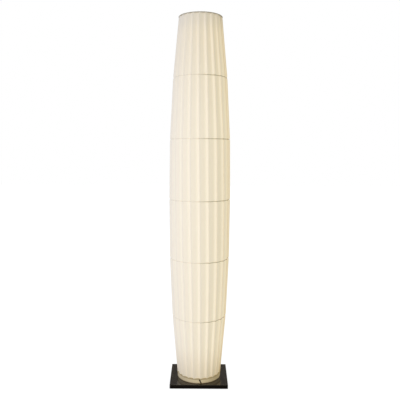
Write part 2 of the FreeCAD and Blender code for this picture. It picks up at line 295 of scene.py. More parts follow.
def pleated_cotton(cloth):
    """Woven cotton, dyed cream and pressed in pleats.

    Threads show as a fine grid with thicker slubs. Light from inside comes through, most beside each
    lap and less towards the rim. The cloth is painted darker and browner towards its ends, as shade,
    and each hoop inside has its shadow painted on as a thin line across the cloth, darker to the right.
    """
    material, tree = begin_material("pleated_cotton_cloth")
    flat = add_node(tree, "UVMap", uv_map="flat_cloth").outputs["UV"]
    threads = {"Vector": flat, "Scale": wave_scale(THREAD_PITCH)}
    weft = add_node(tree, "TexWave", threads, bands_direction="Y").outputs["Fac"]
    warp = add_node(tree, "TexWave", threads, bands_direction="X").outputs["Fac"]
    grid = add_node(tree, "Math", {0: weft, 1: warp}, operation="MULTIPLY").outputs[0]
    along = add_node(tree, "Mapping", {"Vector": flat, "Scale": (1.0, SLUB_STRETCH, 1.0)})
    slub = add_node(tree, "TexNoise", {
        "Vector": along.outputs["Vector"], "Scale": per_mm(SLUB_WIDTH), "Detail": 3.0}).outputs["Fac"]
    relief = add_node(tree, "Math", {0: grid, 1: slub}, operation="ADD").outputs[0]
    bump = add_node(tree, "Bump", {
        "Height": relief, "Strength": 0.25, "Distance": 0.2 * MM}).outputs["Normal"]
    shade = [channel * THREAD_SHADE for channel in cloth.colour]
    tone = add_node(tree, "Mix", data_type="RGBA", inputs={
        0: slub, 6: opaque(shade), 7: opaque(cloth.colour)}).outputs[2]

    height = add_node(tree, "SeparateXYZ", {"Vector": flat}).outputs["Y"]
    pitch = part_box("hoop_2")[0].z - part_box("hoop_1")[0].z
    to_hoop = add_node(tree, "Math", {0: height, 1: pitch / 2}, operation="PINGPONG").outputs[0]
    line = add_node(tree, "MapRange", {
        "Value": to_hoop, "From Min": HOOP_SHADE_FULL, "From Max": HOOP_SHADE_END,
        "To Min": 1.0, "To Max": 0.0},
        interpolation_type="SMOOTHSTEP").outputs["Result"]
    place = add_node(tree, "TexCoord").outputs["Object"]
    across = add_node(tree, "SeparateXYZ", {"Vector": place}).outputs["X"]
    # The painted hoop shadow is faint on the left, where the key light falls, and full on the right.
    side = add_node(tree, "MapRange", {
        "Value": across, "From Min": HOOP_SHADE_FROM, "From Max": HOOP_SHADE_TO,
        "To Min": HOOP_SHADE_LEFT, "To Max": 1.0},
        interpolation_type="SMOOTHSTEP").outputs["Result"]
    drawn = add_node(tree, "Math", {0: line, 1: side}, operation="MULTIPLY").outputs[0]
    # Painted shadow of the hoop: a darker band of the cloth's colour.
    sewn = [channel * dim for channel, dim in zip(cloth.colour, HOOP_SHADE_TINT)]
    hoop_shaded = add_node(tree, "Mix", data_type="RGBA", inputs={
        0: drawn, 6: tone, 7: opaque(sewn)}).outputs[2]

    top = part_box("pleated_shade")[1].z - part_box("pleated_shade")[0].z
    to_rim = add_node(tree, "MapRange", {
        "Value": height, "From Min": top - RIM_REACH, "From Max": top,
        "To Min": 0.0, "To Max": RIM_SHARE},
        interpolation_type="SMOOTHSTEP").outputs["Result"]
    to_hem = add_node(tree, "MapRange", {
        "Value": height, "From Min": 0.0, "From Max": HEM_REACH,
        "To Min": HEM_SHARE, "To Max": 0.0},
        interpolation_type="SMOOTHSTEP").outputs["Result"]
    end = add_node(tree, "Math", {0: to_rim, 1: to_hem}, operation="MAXIMUM").outputs[0]
    # Painted shade: the cloth is darker and browner towards the rim and the hem.
    end_shaded = add_node(tree, "Mix", data_type="RGBA", blend_type="MULTIPLY", inputs={
        0: end, 6: hoop_shaded, 7: opaque(END_SHADE_TINT)}).outputs[2]

    inside = add_node(tree, "Math", {
        0: end, 1: -END_HOLDS_BACK, 2: 1.0}, operation="MULTIPLY_ADD").outputs[0]
    above_chips = add_node(tree, "MapRange", {
        "Value": height, "From Min": top - DIM_REACH, "From Max": top,
        "To Min": 0.0, "To Max": DIM_SHARE},
        interpolation_type="SMOOTHSTEP").outputs["Result"]
    lit = add_node(tree, "Math", {0: inside, 1: above_chips}, operation="SUBTRACT").outputs[0]
    open_face = add_node(tree, "Attribute", attribute_name="open_face").outputs["Fac"]
    through = add_node(tree, "Math", {0: lit, 1: open_face}, operation="MULTIPLY").outputs[0]
    strength = add_node(tree, "Math", {
        0: through, 1: cloth.glow_strength}, operation="MULTIPLY").outputs[0]
    end_material(tree, Base_Color=end_shaded, Roughness=0.85, Sheen_Weight=0.15, Sheen_Roughness=0.5,
                 Specular_IOR_Level=0.25, Emission_Color=opaque(cloth.glow),
                 Emission_Strength=strength, Normal=bump)
    return material


def bias_tape(name, low, high):
    """Cotton tape cut on the bias, rolled over a wire: the same cream, duller, with slanting threads.

    Its threads are drawn coarser than real ones, so that they show.
    """
    material, tree = begin_material(name)
    place = add_node(tree, "TexCoord").outputs["Object"]
    slant = (0.0, math.radians(45), 0.0)
    turned = add_node(tree, "Mapping", {"Vector": place, "Rotation": slant}).outputs["Vector"]
    threads = add_node(tree, "TexWave", {
        "Vector": turned, "Scale": wave_scale(1.2)}).outputs["Fac"]
    bump = add_node(tree, "Bump", {
        "Height": threads, "Strength": 0.3, "Distance": 0.2 * MM}).outputs["Normal"]
    tone = add_node(tree, "Mix", data_type="RGBA", inputs={
        0: threads, 6: opaque(linear(low)), 7: opaque(linear(high))}).outputs[2]
    end_material(tree, Base_Color=tone, Roughness=0.9, Specular_IOR_Level=0.2, Normal=bump)
    return material


def gloss_lacquer(stand):
    """Black lacquer sprayed on brown fibreboard and polished.

    It is deep and glossy, with a brown cast in its gloss and a faint orange peel.
    """
    material, tree = begin_material("gloss_lacquer_on_board")
    place = add_node(tree, "TexCoord").outputs["Object"]
    peel = add_node(tree, "TexNoise", {
        "Vector": place, "Scale": per_mm(6.0), "Detail": 1.0}).outputs["Fac"]
    dust = add_node(tree, "TexNoise", {
        "Vector": place, "Scale": per_mm(1.5), "Detail": 4.0}).outputs["Fac"]
    haze = add_node(tree, "MapRange", {
        "Value": dust, "From Min": 0.35, "From Max": 0.75,
        "To Min": 0.14, "To Max": 0.26}).outputs["Result"]
    dusty = [channel * 1.7 for channel in stand.lacquer]
    tone = add_node(tree, "Mix", data_type="RGBA", inputs={
        0: dust, 6: opaque(stand.lacquer), 7: opaque(dusty)}).outputs[2]
    bump = add_node(tree, "Bump", {
        "Height": peel, "Strength": 0.04, "Distance": 0.3 * MM}).outputs["Normal"]
    end_material(tree, Base_Color=tone, Roughness=haze, IOR=1.5, Specular_IOR_Level=0.5,
                 Specular_Tint=opaque(linear("#FFECCE")), Coat_Weight=0.3, Coat_Roughness=0.06,
                 Normal=bump)
    return material


def pressed_felt():
    """Wool felt, pressed and dyed black: dead matt, with tangled fibres."""
    material, tree = begin_material("pressed_wool_felt")
    place = add_node(tree, "TexCoord").outputs["Object"]
    fibre = add_node(tree, "TexNoise", {
        "Vector": place, "Scale": per_mm(1.0), "Detail": 6.0, "Distortion": 2.0}).outputs["Fac"]
    tone = add_node(tree, "Mix", data_type="RGBA", inputs={
        0: fibre, 6: opaque(linear("#141414")), 7: opaque(linear("#2C2B2A"))}).outputs[2]
    bump = add_node(tree, "Bump", {
        "Height": fibre, "Strength": 0.6, "Distance": 0.4 * MM}).outputs["Normal"]
    end_material(tree, Base_Color=tone, Roughness=1.0, Sheen_Weight=0.2, Specular_IOR_Level=0.1,
                 Normal=bump)
    return material


def rolled_steel():
    """Hot rolled steel plate: dark grey scale, rubbed brighter in patches."""
    material, tree = begin_material("hot_rolled_steel")
    place = add_node(tree, "TexCoord").outputs["Object"]
    scale = add_node(tree, "TexNoise", {
        "Vector": place, "Scale": per_mm(18.0), "Detail": 6.0}).outputs["Fac"]
    tone = add_node(tree, "Mix", data_type="RGBA", inputs={
        0: scale, 6: opaque(linear("#4A4B4E")), 7: opaque(linear("#7C7D80"))}).outputs[2]
    rough = add_node(tree, "MapRange", {
        "Value": scale, "To Min": 0.6, "To Max": 0.35}).outputs["Result"]
    end_material(tree, Base_Color=tone, Metallic=1.0, Roughness=rough)
    return material


def zinc_plate(name, node, head):
    """Steel screws with bright zinc plate: clouded pale grey, with each head's cross recess painted on
    as a dark cross of shade.
    """
    material, tree = begin_material(name)
    place = add_node(tree, "TexCoord").outputs["Object"]
    cloud = add_node(tree, "TexNoise", {
        "Vector": place, "Scale": per_mm(2.5), "Detail": 3.0}).outputs["Fac"]
    tone = add_node(tree, "Mix", data_type="RGBA", inputs={
        0: cloud, 6: opaque(linear("#A9ADB2")), 7: opaque(linear("#D2D3CF"))}).outputs[2]
    low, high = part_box(node)
    centre = (high.x - head, max(high.y, -low.y) - head, 0.0)
    mirrored = add_node(tree, "VectorMath", {0: place}, operation="ABSOLUTE").outputs["Vector"]
    moved = add_node(tree, "VectorMath", {
        0: mirrored, 1: centre}, operation="SUBTRACT").outputs["Vector"]
    folded = add_node(tree, "VectorMath", {0: moved}, operation="ABSOLUTE").outputs["Vector"]
    apart = add_node(tree, "SeparateXYZ", {"Vector": folded}).outputs
    near = add_node(tree, "Math", {0: apart["X"], 1: apart["Y"]}, operation="MINIMUM").outputs[0]
    far = add_node(tree, "Math", {0: apart["X"], 1: apart["Y"]}, operation="MAXIMUM").outputs[0]
    # Painted shade: a dark cross where the recess in each head lies.
    arm = add_node(tree, "Math", {0: near, 1: RECESS_HALF * head}, operation="LESS_THAN").outputs[0]
    reach = add_node(tree, "Math", {0: far, 1: RECESS_REACH * head}, operation="LESS_THAN").outputs[0]
    recess = add_node(tree, "Math", {0: arm, 1: reach}, operation="MULTIPLY").outputs[0]
    recess_shaded = add_node(tree, "Mix", data_type="RGBA", inputs={
        0: recess, 6: tone, 7: opaque(linear("#2E2F31"))}).outputs[2]
    end_material(tree, Base_Color=recess_shaded, Metallic=1.0, Roughness=0.32)
    return material


def moulded_rubber():
    """Black rubber from a mould: matt, with a slight bloom."""
    material, tree = begin_material("moulded_rubber")
    place = add_node(tree, "TexCoord").outputs["Object"]
    bloom = add_node(tree, "TexNoise", {
        "Vector": place, "Scale": per_mm(2.0), "Detail": 4.0}).outputs["Fac"]
    tone = add_node(tree, "Mix", data_type="RGBA", inputs={
        0: bloom, 6: opaque(linear("#161616")), 7: opaque(linear("#2A2A2B"))}).outputs[2]
    end_material(tree, Base_Color=tone, Roughness=0.7, Specular_IOR_Level=0.3)
    return material


def cream_strip(stand):
    """Bent plywood strip under cream paint: satin, with the grain faintly showing along it.

    Its inside and its cut ends are bare brown wood, painted very dark, which also stands for the shade
    inside the slit. It is painted darker along its foot and under the hem, as shade.
    """
    material, tree = begin_material("painted_plywood_strip")
    place = add_node(tree, "TexCoord").outputs["Object"]
    along = add_node(tree, "Mapping", {"Vector": place, "Scale": (1.0, 1.0, 7.0)})
    grain = add_node(tree, "TexNoise", {
        "Vector": along.outputs["Vector"], "Scale": per_mm(14.0), "Detail": 5.0}).outputs["Fac"]
    darker = [channel * 0.86 for channel in stand.collar]
    grained = add_node(tree, "Mix", data_type="RGBA", inputs={
        0: grain, 6: opaque(darker), 7: opaque(stand.collar)}).outputs[2]
    low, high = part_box("shade_collar")
    level = add_node(tree, "SeparateXYZ", {"Vector": place}).outputs["Z"]
    # Painted shade: darker along the foot, where the strip meets the base, and under the hem.
    foot = add_node(tree, "MapRange", {
        "Value": level, "From Min": low.z + 0.5 * MM, "From Max": low.z + 3.5 * MM,
        "To Min": 0.9, "To Max": 0.0}).outputs["Result"]
    under_hem_shade = add_node(tree, "MapRange", {
        "Value": level, "From Min": high.z - 4.0 * MM, "From Max": high.z,
        "To Min": 0.0, "To Max": 0.5}).outputs["Result"]
    painted_shade = add_node(tree, "Math", {0: foot, 1: under_hem_shade}, operation="MAXIMUM").outputs[0]
    painted = add_node(tree, "Mix", data_type="RGBA", inputs={
        0: painted_shade, 6: grained, 7: opaque(linear("#6A4A1C"))}).outputs[2]
    flat = add_node(tree, "Mapping", {"Vector": place, "Scale": (1.0, 1.0, 0.0)})
    reach = add_node(tree, "VectorMath", {0: flat.outputs["Vector"]}, operation="LENGTH")
    # Bare brown wood inside and at the cut ends, painted very dark, also as the shade inside the slit.
    bare = add_node(tree, "MapRange", {
        "Value": reach.outputs["Value"], "From Min": high.x - 0.9 * MM, "From Max": high.x - 0.3 * MM,
        "To Min": 1.0, "To Max": 0.0}).outputs["Result"]
    tone = add_node(tree, "Mix", data_type="RGBA", inputs={
        0: bare, 6: painted, 7: opaque(linear("#3A2812"))}).outputs[2]
    bump = add_node(tree, "Bump", {
        "Height": grain, "Strength": 0.15, "Distance": 0.2 * MM}).outputs["Normal"]
    end_material(tree, Base_Color=tone, Roughness=0.45, Normal=bump)
    return material


def powder_coat():
    """White powder coat baked on steel: eggshell gloss over a fine orange peel."""
    material, tree = begin_material("white_powder_coat")
    place = add_node(tree, "TexCoord").outputs["Object"]
    peel = add_node(tree, "TexNoise", {
        "Vector": place, "Scale": per_mm(1.6), "Detail": 2.0}).outputs["Fac"]
    tone = add_node(tree, "Mix", data_type="RGBA", inputs={
        0: peel, 6: opaque(linear("#DCDAD3")), 7: opaque(linear("#ECEAE4"))}).outputs[2]
    bump = add_node(tree, "Bump", {
        "Height": peel, "Strength": 0.2, "Distance": 0.2 * MM}).outputs["Normal"]
    end_material(tree, Base_Color=tone, Roughness=0.42, Normal=bump)
    return material


def extruded_aluminium():
    """Aluminium as it leaves the die: silver grey with fine lines along its length."""
    material, tree = begin_material("extruded_aluminium")
    place = add_node(tree, "TexCoord").outputs["Object"]
    drawn = add_node(tree, "Mapping", {"Vector": place, "Scale": (1.0, 1.0, 0.004)})
    lines = add_node(tree, "TexNoise", {
        "Vector": drawn.outputs["Vector"], "Scale": per_mm(0.8), "Detail": 4.0}).outputs["Fac"]
    tone = add_node(tree, "Mix", data_type="RGBA", inputs={
        0: lines, 6: opaque(linear("#B4B6B8")), 7: opaque(linear("#D6D7D8"))}).outputs[2]
    rough = add_node(tree, "MapRange", {
        "Value": lines, "To Min": 0.28, "To Max": 0.45}).outputs["Result"]
    bump = add_node(tree, "Bump", {
        "Height": lines, "Strength": 0.15, "Distance": 0.05 * MM}).outputs["Normal"]
    end_material(tree, Base_Color=tone, Metallic=1.0, Roughness=rough, Normal=bump)
    return material


def solder_mask():
    """White solder mask on an aluminium board: satin, with raised copper tracks and tin pads."""
    material, tree = begin_material("white_solder_mask")
    place = add_node(tree, "TexCoord").outputs["Object"]
    speck = add_node(tree, "TexNoise", {
        "Vector": place, "Scale": per_mm(5.0), "Detail": 3.0}).outputs["Fac"]
    tone = add_node(tree, "Mix", data_type="RGBA", inputs={
        0: speck, 6: opaque(linear("#E4E3DD")), 7: opaque(linear("#F2F1EC"))}).outputs[2]
    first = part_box("light_chips_front")[0].z + CHIP_SIDE / 2
    mirrored = add_node(tree, "VectorMath", {0: place}, operation="ABSOLUTE").outputs["Vector"]
    apart = add_node(tree, "SeparateXYZ", {"Vector": mirrored}).outputs
    across = add_node(tree, "Math", {0: apart["X"], 1: apart["Y"]}, operation="MINIMUM").outputs[0]
    above = add_node(tree, "Math", {0: apart["Z"], 1: first}, operation="SUBTRACT").outputs[0]
    along = add_node(tree, "Math", {0: above, 1: CHIP_PITCH / 2}, operation="PINGPONG").outputs[0]
    track = add_node(tree, "Math", {
        0: across, 1: TRACK_PLACE, 2: TRACK_HALF}, operation="COMPARE").outputs[0]
    row = add_node(tree, "Math", {
        0: along, 1: PAD_PLACE, 2: PAD_HALF}, operation="COMPARE").outputs[0]
    strip = add_node(tree, "Math", {
        0: across, 1: 0.0, 2: PAD_REACH}, operation="COMPARE").outputs[0]
    pad = add_node(tree, "Math", {0: row, 1: strip}, operation="MULTIPLY").outputs[0]
    traced = add_node(tree, "Mix", data_type="RGBA", inputs={
        0: track, 6: tone, 7: opaque(linear("#D8D0BC"))}).outputs[2]
    tinned = add_node(tree, "Mix", data_type="RGBA", inputs={
        0: pad, 6: traced, 7: opaque(linear("#BFC1C3"))}).outputs[2]
    relief = add_node(tree, "Math", {0: track, 1: pad}, operation="MAXIMUM").outputs[0]
    bump = add_node(tree, "Bump", {
        "Height": relief, "Strength": 0.5, "Distance": 0.1 * MM}).outputs["Normal"]
    end_material(tree, Base_Color=tinned, Metallic=pad, Roughness=0.38, Normal=bump)
    return material


def phosphor_lens(stand):
    """Silicone with yellow phosphor over a light chip: it glows warm white."""
    material, tree = begin_material("phosphor_silicone")
    place = add_node(tree, "TexCoord").outputs["Object"]
    grain = add_node(tree, "TexNoise", {
        "Vector": place, "Scale": per_mm(1.0), "Detail": 2.0}).outputs["Fac"]
    tone = add_node(tree, "Mix", data_type="RGBA", inputs={
        0: grain, 6: opaque(linear("#F0C860")), 7: opaque(linear("#F8E0A0"))}).outputs[2]
    end_material(tree, Base_Color=tone, Roughness=0.25, Emission_Color=opaque(stand.light),
                 Emission_Strength=2.0)
    return material


def moulded_plastic(name, low, high):
    """Moulded plastic with a fine spark-eroded grain: matt, and slightly uneven in colour."""
    material, tree = begin_material(name)
    place = add_node(tree, "TexCoord").outputs["Object"]
    grain = add_node(tree, "TexNoise", {
        "Vector": place, "Scale": per_mm(0.9), "Detail": 2.0}).outputs["Fac"]
    tone = add_node(tree, "Mix", data_type="RGBA", inputs={
        0: grain, 6: opaque(linear(low)), 7: opaque(linear(high))}).outputs[2]
    bump = add_node(tree, "Bump", {
        "Height": grain, "Strength": 0.2, "Distance": 0.1 * MM}).outputs["Normal"]
    end_material(tree, Base_Color=tone, Roughness=0.55, Normal=bump)
    return material


def satin_brass():
    """Turned brass, lacquered satin: warm yellow with fine rings from the lathe.

    The rings are drawn coarser than real ones, so that they show.
    """
    material, tree = begin_material("turned_satin_brass")
    place = add_node(tree, "TexCoord").outputs["Object"]
    rings = add_node(tree, "TexWave", {"Vector": place, "Scale": wave_scale(0.7)},
                     wave_type="RINGS", rings_direction="Z").outputs["Fac"]
    tone = add_node(tree, "Mix", data_type="RGBA", inputs={
        0: rings, 6: opaque(linear("#B08D4E")), 7: opaque(linear("#C9A868"))}).outputs[2]
    bump = add_node(tree, "Bump", {
        "Height": rings, "Strength": 0.1, "Distance": 0.05 * MM}).outputs["Normal"]
    end_material(tree, Base_Color=tone, Metallic=1.0, Roughness=0.3, Normal=bump)
    return material


def dress(material, *nodes):
    """Give CAD nodes a finish."""
    for name in nodes:
        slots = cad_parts[name].data.materials
        slots.clear()
        slots.append(material)


def finish_piece(name, bm, material, body, smooth=True):
    """Turn a bmesh into a piece of the lamp that rides on a body."""
    mesh = bpy.data.meshes.new(name)
    bm.to_mesh(mesh)
    bm.free()
    for face in mesh.polygons:
        face.use_smooth = smooth
    mesh.materials.append(material)
    piece = bpy.data.objects.new(name, mesh)
    bpy.context.scene.collection.objects.link(piece)
    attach(piece, body)
    return piece


def shade_stations(cloth):
    """Level and outer fold radius at the hem, at each hoop and at the rim."""
    stations = []
    for name in RINGS:
        low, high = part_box(name)
        stations.append(((high.z + low.z) / 2, (high.x - low.x) / 2 + cloth.fold_stand))
    low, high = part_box("pleated_shade")
    stations[0] = (low.z, stations[0][1])
    stations[-1] = (high.z, stations[-1][1])
    return stations


def shade_rows(stations):
    """Rows of the cloth as level and fold radius, closer together beside the hoops."""
    rows = []
    for (low, low_radius), (high, high_radius) in zip(stations, stations[1:]):
        for share in ROW_SHARES:
            rows.append((low + (high - low) * share, low_radius + (high_radius - low_radius) * share))
    rows.append(stations[-1])
    return rows


def pleat_sizes(cloth, radius):
    """Angle from one pleat to the next, and the angle that a pleat tucks under its neighbour."""
    pitch = math.tau / cloth.pleats
    loops = 2 * (math.pi - 1) * cloth.fold_round
    return pitch, (cloth.cut_per_pleat - loops) / 2 / radius - pitch / 2


def pleat_steps(cloth, radius):
    """Steps across one pleat, each with its stretch, the share of it, and its flat place in metres."""
    pitch, tuck = pleat_sizes(cloth, radius)
    bend = math.pi * cloth.fold_round
    hidden = tuck * radius - cloth.fold_round
    stretches = (("face", FACE_STEPS, pitch * radius), ("outer", BEND_STEPS, bend),
                 ("return", HIDDEN_STEPS, hidden), ("inner", BEND_STEPS, bend),
                 ("under", HIDDEN_STEPS, hidden))
    steps = []
    flat = 0.0
    for stretch, count, length in stretches:
        steps += [(stretch, number / count, flat + length * number / count) for number in range(count)]
        flat += length
    return steps


def face_reach(cloth, share, radius, valley):
    """Radius of a pleat's open face: a dip that flattens out and then rises to the next fold."""
    if share < cloth.crease:
        sink = 1 - (1 - share / cloth.crease) ** FALL_CURVE
    else:
        sink = 1 - ((share - cloth.crease) / (1 - cloth.crease)) ** RISE_CURVE
    return radius - 4 * cloth.fold_round * (1 - share) - valley * sink


def pleat_point(cloth, stretch, share, radius, valley, left_fold, right_fold):
    """Angle and radius of a point of a pleat: its face, or the cloth pressed back under its fold."""
    curl = cloth.fold_round
    turn = curl / radius
    pitch, tuck = pleat_sizes(cloth, radius)
    if stretch == "face":
        angle = left_fold + (right_fold - turn - left_fold) * share
        return angle, face_reach(cloth, share, radius, valley)
    if stretch == "outer":
        swing = math.pi * (0.5 - share)
        return right_fold - turn + turn * math.cos(swing), radius - curl + curl * math.sin(swing)
    back = tuck - turn
    if stretch == "return":
        back = turn + (back - turn) * share
        return right_fold - back, face_reach(cloth, 1 - back / pitch, radius, valley) - 2 * curl
    if stretch == "inner":
        swing = math.pi * (0.5 + share)
        middle = face_reach(cloth, 1 - back / pitch, radius, valley) - 3 * curl
        return right_fold - back + turn * math.cos(swing), middle + curl * math.sin(swing)
    back *= 1 - share
    return right_fold - back, face_reach(cloth, 1 - back / pitch, radius, valley) - 4 * curl


def fold_angle(cloth, number, level, low, high):
    """Angle of an outer fold at a level: evenly spaced, leaning, and wandering a little."""
    even = cloth.hem_fold + number * math.tau / cloth.pleats
    lean = cloth.lean * (level - low) / (high - low)
    pleat = number % cloth.pleats
    spot = Vector((pleat * WANDER_PER_PLEAT, level * WANDER_PER_METRE, WANDER_PLANE))
    return even + lean + cloth.wander * noise.noise(spot)


def light_through(cloth, stretch, share, radius):
    """Share of light through a pleat: most beside the lap, least where the cloth lies threefold."""
    pitch, tuck = pleat_sizes(cloth, radius)
    if stretch != "face" or share > 1 - tuck / pitch:
        return LAP_LIGHT
    beside = min(1.0, max(0.0, (BESIDE_LAP_END - share) / BESIDE_LAP_FADE))
    return FACE_LIGHT + BESIDE_LAP_LIGHT * beside


def cloth_place(vertex, cloth, rows, steps):
    """The row, the pleat's number and the step across it of a vertex of the flat grid."""
    row = rows[round((vertex.co.y + 0.5) * (len(rows) - 1))]
    pleat, step = divmod(round((vertex.co.x + 0.5) * cloth.pleats * len(steps)), len(steps))
    return row, pleat, steps[step]


def lay_out_cloth(bm, cloth, rows, steps):
    """Store the flat place of the cloth in metres, for its weave, and the light it lets through."""
    flat_cloth = bm.loops.layers.uv.new("flat_cloth")
    open_face = bm.verts.layers.float.new("open_face")
    for face in bm.faces:
        for loop in face.loops:
            (level, radius), pleat, (stretch, share, flat) = cloth_place(loop.vert, cloth, rows, steps)
            loop[flat_cloth].uv = (pleat * cloth.cut_per_pleat + flat, level - rows[0][0])
            loop.vert[open_face] = light_through(cloth, stretch, share, radius)


def fold_cloth(bm, cloth, stations, rows, steps):
    """Fold a flat grid of cloth into pleats and wrap it round the hoops."""
    widest = max(radius for level, radius in stations)
    low, high = stations[0][0], stations[-1][0]
    hoop_levels = [level for level, radius in stations[1:-1]]
    for vertex in bm.verts:
        (level, radius), pleat, step = cloth_place(vertex, cloth, rows, steps)
        stretch, share = step[:2]
        from_end = min(1.0, min(level - low, high - level) / END_REACH)
        drawn_in = sum(math.exp(-((level - hoop) / STITCH_REACH) ** 2) for hoop in hoop_levels)
        valley = cloth.valley * (END_DEPTH + (1 - END_DEPTH) * from_end)
        valley *= (widest / radius) ** NARROW_CURVE * (1 - STITCH_FLATTENS * drawn_in)
        left = fold_angle(cloth, pleat - 1, level, low, high)
        right = fold_angle(cloth, pleat, level, low, high)
        sewn = radius - cloth.pinch * drawn_in
        angle, reach = pleat_point(cloth, stretch, share, sewn, valley, left, right)
        vertex.co = (-reach * math.cos(angle), reach * math.sin(angle), level)


class LAMP_OT_rolled_edges(bpy.types.Operator):
    """Bind the rim and the hem of the cloth with rolled tape over the end rings"""

    bl_idname = "lamp.rolled_edges"
    bl_label = "Rolled edges"

    def execute(self, context):
        stations = shade_stations(context.scene.lamp_cloth)
        clean = bias_tape("cotton_bias_tape", "#ADA593", "#C2BAA8")
        soiled = bias_tape("soiled_cotton_bias_tape", "#AE9C74", "#C4B289")
        upright = Matrix.Rotation(math.pi / 2, 3, "X")
        for name, tape, (level, radius), inward in (
                ("hem_tape", soiled, stations[0], 1), ("rim_tape", clean, stations[-1], -1)):
            middle = (radius + ROLL_PROUD - ROLL_REACH, 0, level + inward * ROLL_HALF * ROLL_SHIFT)
            bm = bmesh.new()
            section = bmesh.ops.create_circle(bm, segments=ROLL_SEGMENTS, radius=ROLL_HALF)["verts"]
            bmesh.ops.scale(bm, verts=section, vec=(ROLL_REACH / ROLL_HALF, 1.0, 1.0))
            bmesh.ops.rotate(bm, verts=section, cent=(0, 0, 0), matrix=upright)
            bmesh.ops.translate(bm, verts=section, vec=middle)
            bmesh.ops.spin(bm, geom=bm.edges[:] + bm.verts[:], cent=(0, 0, 0), axis=(0, 0, 1),
                           angle=math.tau, steps=ROLL_STEPS, use_merge=True)
            bmesh.ops.recalc_face_normals(bm, faces=bm.faces)
            finish_piece(name, bm, tape, "shade")
        return {"FINISHED"}


class LAMP_OT_pleated_cloth(bpy.types.Operator):
    """Fold the cloth of the shade in knife pleats over its hoops"""

    bl_idname = "lamp.pleated_cloth"
    bl_label = "Pleated cloth"

    def execute(self, context):
        cloth = context.scene.lamp_cloth
        stations = shade_stations(cloth)
        rows = shade_rows(stations)
        steps = pleat_steps(cloth, max(radius for level, radius in stations))
        bm = bmesh.new()
        bmesh.ops.create_grid(bm, x_segments=cloth.pleats * len(steps), y_segments=len(rows) - 1,
                              size=0.5)
        lay_out_cloth(bm, cloth, rows, steps)
        fold_cloth(bm, cloth, stations, rows, steps)
        bmesh.ops.remove_doubles(bm, verts=bm.verts, dist=1e-6)
        bm.normal_update()
        outward = sum(face.normal.dot(face.calc_center_median().xy.normalized().to_3d())
                      for face in bm.faces)
        if outward < 0:
            bmesh.ops.reverse_faces(bm, faces=bm.faces)
        piece = finish_piece("pleated_cloth", bm, pleated_cotton(cloth), "shade")
        wall = piece.modifiers.new("cloth_thickness", "SOLIDIFY")
        wall.thickness = cloth.thickness
        wall.offset = -1.0
        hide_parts("pleated_shade")
        return {"FINISHED"}


class LAMP_OT_wire_frame(bpy.types.Operator):
    """Finish the rings and the arms as coated wire, the hub and the mast's foot as painted steel"""

    bl_idname = "lamp.wire_frame"
    bl_label = "Wire frame"

    def execute(self, context):
        dress(moulded_plastic("plastic_coated_wire", "#DAD6CB", "#E9E6DD"), "spider_arms", *RINGS)
        dress(powder_coat(), "spider_hub", "mast_flange")
        return {"FINISHED"}


class LAMP_OT_base(bpy.types.Operator):
    """Finish the base: lacquered board, felt, ballast, grommet and the collar"""

    bl_idname = "lamp.base"
    bl_label = "Base and collar"

    def execute(self, context):
        stand = context.scene.lamp_stand
        dress(gloss_lacquer(stand), "base_plate")
        dress(pressed_felt(), "base_felt")
        dress(rolled_steel(), "ballast_plate")
        dress(moulded_rubber(), "cable_grommet")
        dress(cream_strip(stand), "shade_collar")
        return {"FINISHED"}


class LAMP_OT_mast(bpy.types.Operator):
    """Finish the mast, its light boards, the frames of its chips and the thumb nut"""

    bl_idname = "lamp.mast"
    bl_label = "Mast and lights"

    def execute(self, context):
        dress(extruded_aluminium(), "mast")
        dress(solder_mask(), *[f"light_board_{side}" for side in SIDES])
        chip_frame = moulded_plastic("white_polyamide_frame", "#E0DFDA", "#EEEDE9")
        dress(chip_frame, *[f"light_chips_{side}" for side in SIDES])
        dress(satin_brass(), "shade_nut")
        return {"FINISHED"}


class LAMP_OT_lenses(bpy.types.Operator):
    """Set a round lens of phosphor silicone on each light chip"""

    bl_idname = "lamp.lenses"
    bl_label = "Light lenses"

    def execute(self, context):
        low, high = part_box("light_chips_front")
        count = round((high.z - low.z - CHIP_SIDE) / CHIP_PITCH) + 1
        facing = Matrix.Rotation(math.pi / 2, 4, "X")
        bm = bmesh.new()
        for quarter in range(len(SIDES)):
            turn = Matrix.Rotation(quarter * math.pi / 2, 4, "Z")
            for number in range(count):
                level = low.z + CHIP_SIDE / 2 + number * CHIP_PITCH
                place = turn @ Matrix.Translation((0.0, low.y - LENS_LIFT, level)) @ facing
                bmesh.ops.create_cone(bm, cap_ends=True, segments=LENS_SEGMENTS, radius1=LENS_FOOT,
                                      radius2=LENS_TOP, depth=LENS_HEIGHT, matrix=place)
        silicone = phosphor_lens(context.scene.lamp_stand)
        finish_piece("light_lenses", bm, silicone, "stand", smooth=False)
        return {"FINISHED"}


class LAMP_OT_fittings(bpy.types.Operator):
    """Finish the screws, the mast's plug, the driver, the terminal strip and the inner leads"""

    bl_idname = "lamp.fittings"
    bl_label = "Electrical fittings"

    def execute(self, context):
        for node, head in (("flange_screws", 4.0), ("collar_screws", 4.0), ("ballast_screws", 4.0),
                           ("driver_screws", 3.0)):
            dress(zinc_plate(f"zinc_plated_{node}", node, head * MM), node)
        socket_zinc = zinc_plate("zinc_plated_steel", "socket_screws", 2.5 * MM)
        dress(socket_zinc, "socket_screws", "mast_top_plug")
        dress(moulded_plastic("white_abs", "#DEDDD8", "#EAE9E4"), "driver_case", "driver_lid")
        dress(moulded_plastic("glass_epoxy_board", "#1D5A30", "#2A7040"), "driver_board")
        dress(moulded_plastic("natural_polyamide", "#C9C5B6", "#DAD6C8"), "terminal_block")
        dress(moulded_plastic("grey_pvc_sheath", "#B9B8B4", "#CBCAC6"), "supply_lead", "output_lead")
        return {"FINISHED"}


